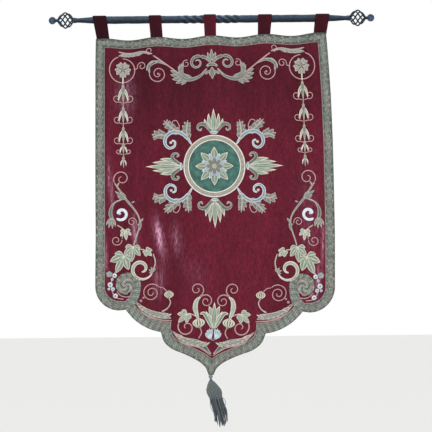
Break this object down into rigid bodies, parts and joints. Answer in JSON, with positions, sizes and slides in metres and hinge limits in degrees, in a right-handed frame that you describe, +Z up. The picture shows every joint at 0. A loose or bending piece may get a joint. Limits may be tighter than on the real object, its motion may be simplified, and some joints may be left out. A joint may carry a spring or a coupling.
{
  "type": "church banner and hanging rod",
  "caption": "Velvet church banner with a scalloped foot, metallic border band, raised floral embroidery and a tassel, hanging by loops from a forged iron rod with basket finials.",
  "frame": {"origin": "middle of the hanging rod's axis", "axes": "+X along the rod to the right as seen from the front, +Z up, front towards -Y"},
  "size_m": [1.042, 0.0555, 1.3286],
  "materials": {
    "forged_iron": "dark blue-grey forged iron",
    "tab_velvet": "dark red velvet",
    "panel_velvet": "crimson velvet with an upright nap",
    "metal_band": "grey-green metallic embroidered band",
    "silver_thread": "tarnished silver thread in satin stitch",
    "blue_silver": "bright blue-silver thread",
    "cream_silk": "cream silk in satin stitch",
    "teal_cloth": "teal silk ground",
    "tassel_yarn": "dull blue-grey yarn"
  },
  "bodies": {
    "root": {"border_left": "metal_band", "border_lobe_left": "metal_band", "border_lobe_right": "metal_band", "border_point": "metal_band", "border_right": "metal_band", "border_swag_left": "metal_band", "border_swag_right": "metal_band", "border_top": "metal_band", "corner_buds_left": "silver_thread", "corner_buds_right": "silver_thread", "corner_ring_left": "silver_thread", "corner_ring_right": "silver_thread", "field_curl_left": "silver_thread", "field_curl_right": "silver_thread", "finial_ball_left": "forged_iron", "finial_ball_right": "forged_iron", "finial_cage_left": "forged_iron", "finial_cage_right": "forged_iron", "foot_palmette": "cream_silk", "foot_spray_left": "silver_thread", "foot_spray_right": "silver_thread", "husk_chain_left": "silver_thread", "husk_chain_right": "silver_thread", "lily_horn_left": "silver_thread", "lily_horn_right": "silver_thread", "medallion_ground": "teal_cloth", "medallion_lower_palmette": "cream_silk", "medallion_lower_spray_left": "blue_silver", "medallion_lower_spray_right": "blue_silver", "medallion_ring": "silver_thread", "medallion_rosette": "cream_silk", "medallion_side_left": "cream_silk", "medallion_side_right": "cream_silk", "medallion_upper_palmette": "cream_silk", "medallion_upper_spray_left": "blue_silver", "medallion_upper_spray_right": "blue_silver", "point_leaf_left": "silver_thread", "point_leaf_right": "silver_thread", "rod_bar": "forged_iron", "side_vine_left": "silver_thread", "side_vine_right": "silver_thread", "tab_1": "tab_velvet", "tab_2": "tab_velvet", "tab_3": "tab_velvet", "tab_4": "tab_velvet", "tab_5": "tab_velvet", "tassel": "tassel_yarn", "tassel_knot": "tassel_yarn", "top_fleuron": "silver_thread", "top_scroll_left": "silver_thread", "top_scroll_right": "silver_thread", "velvet_panel": "panel_velvet"}
  },
  "joints": []
}
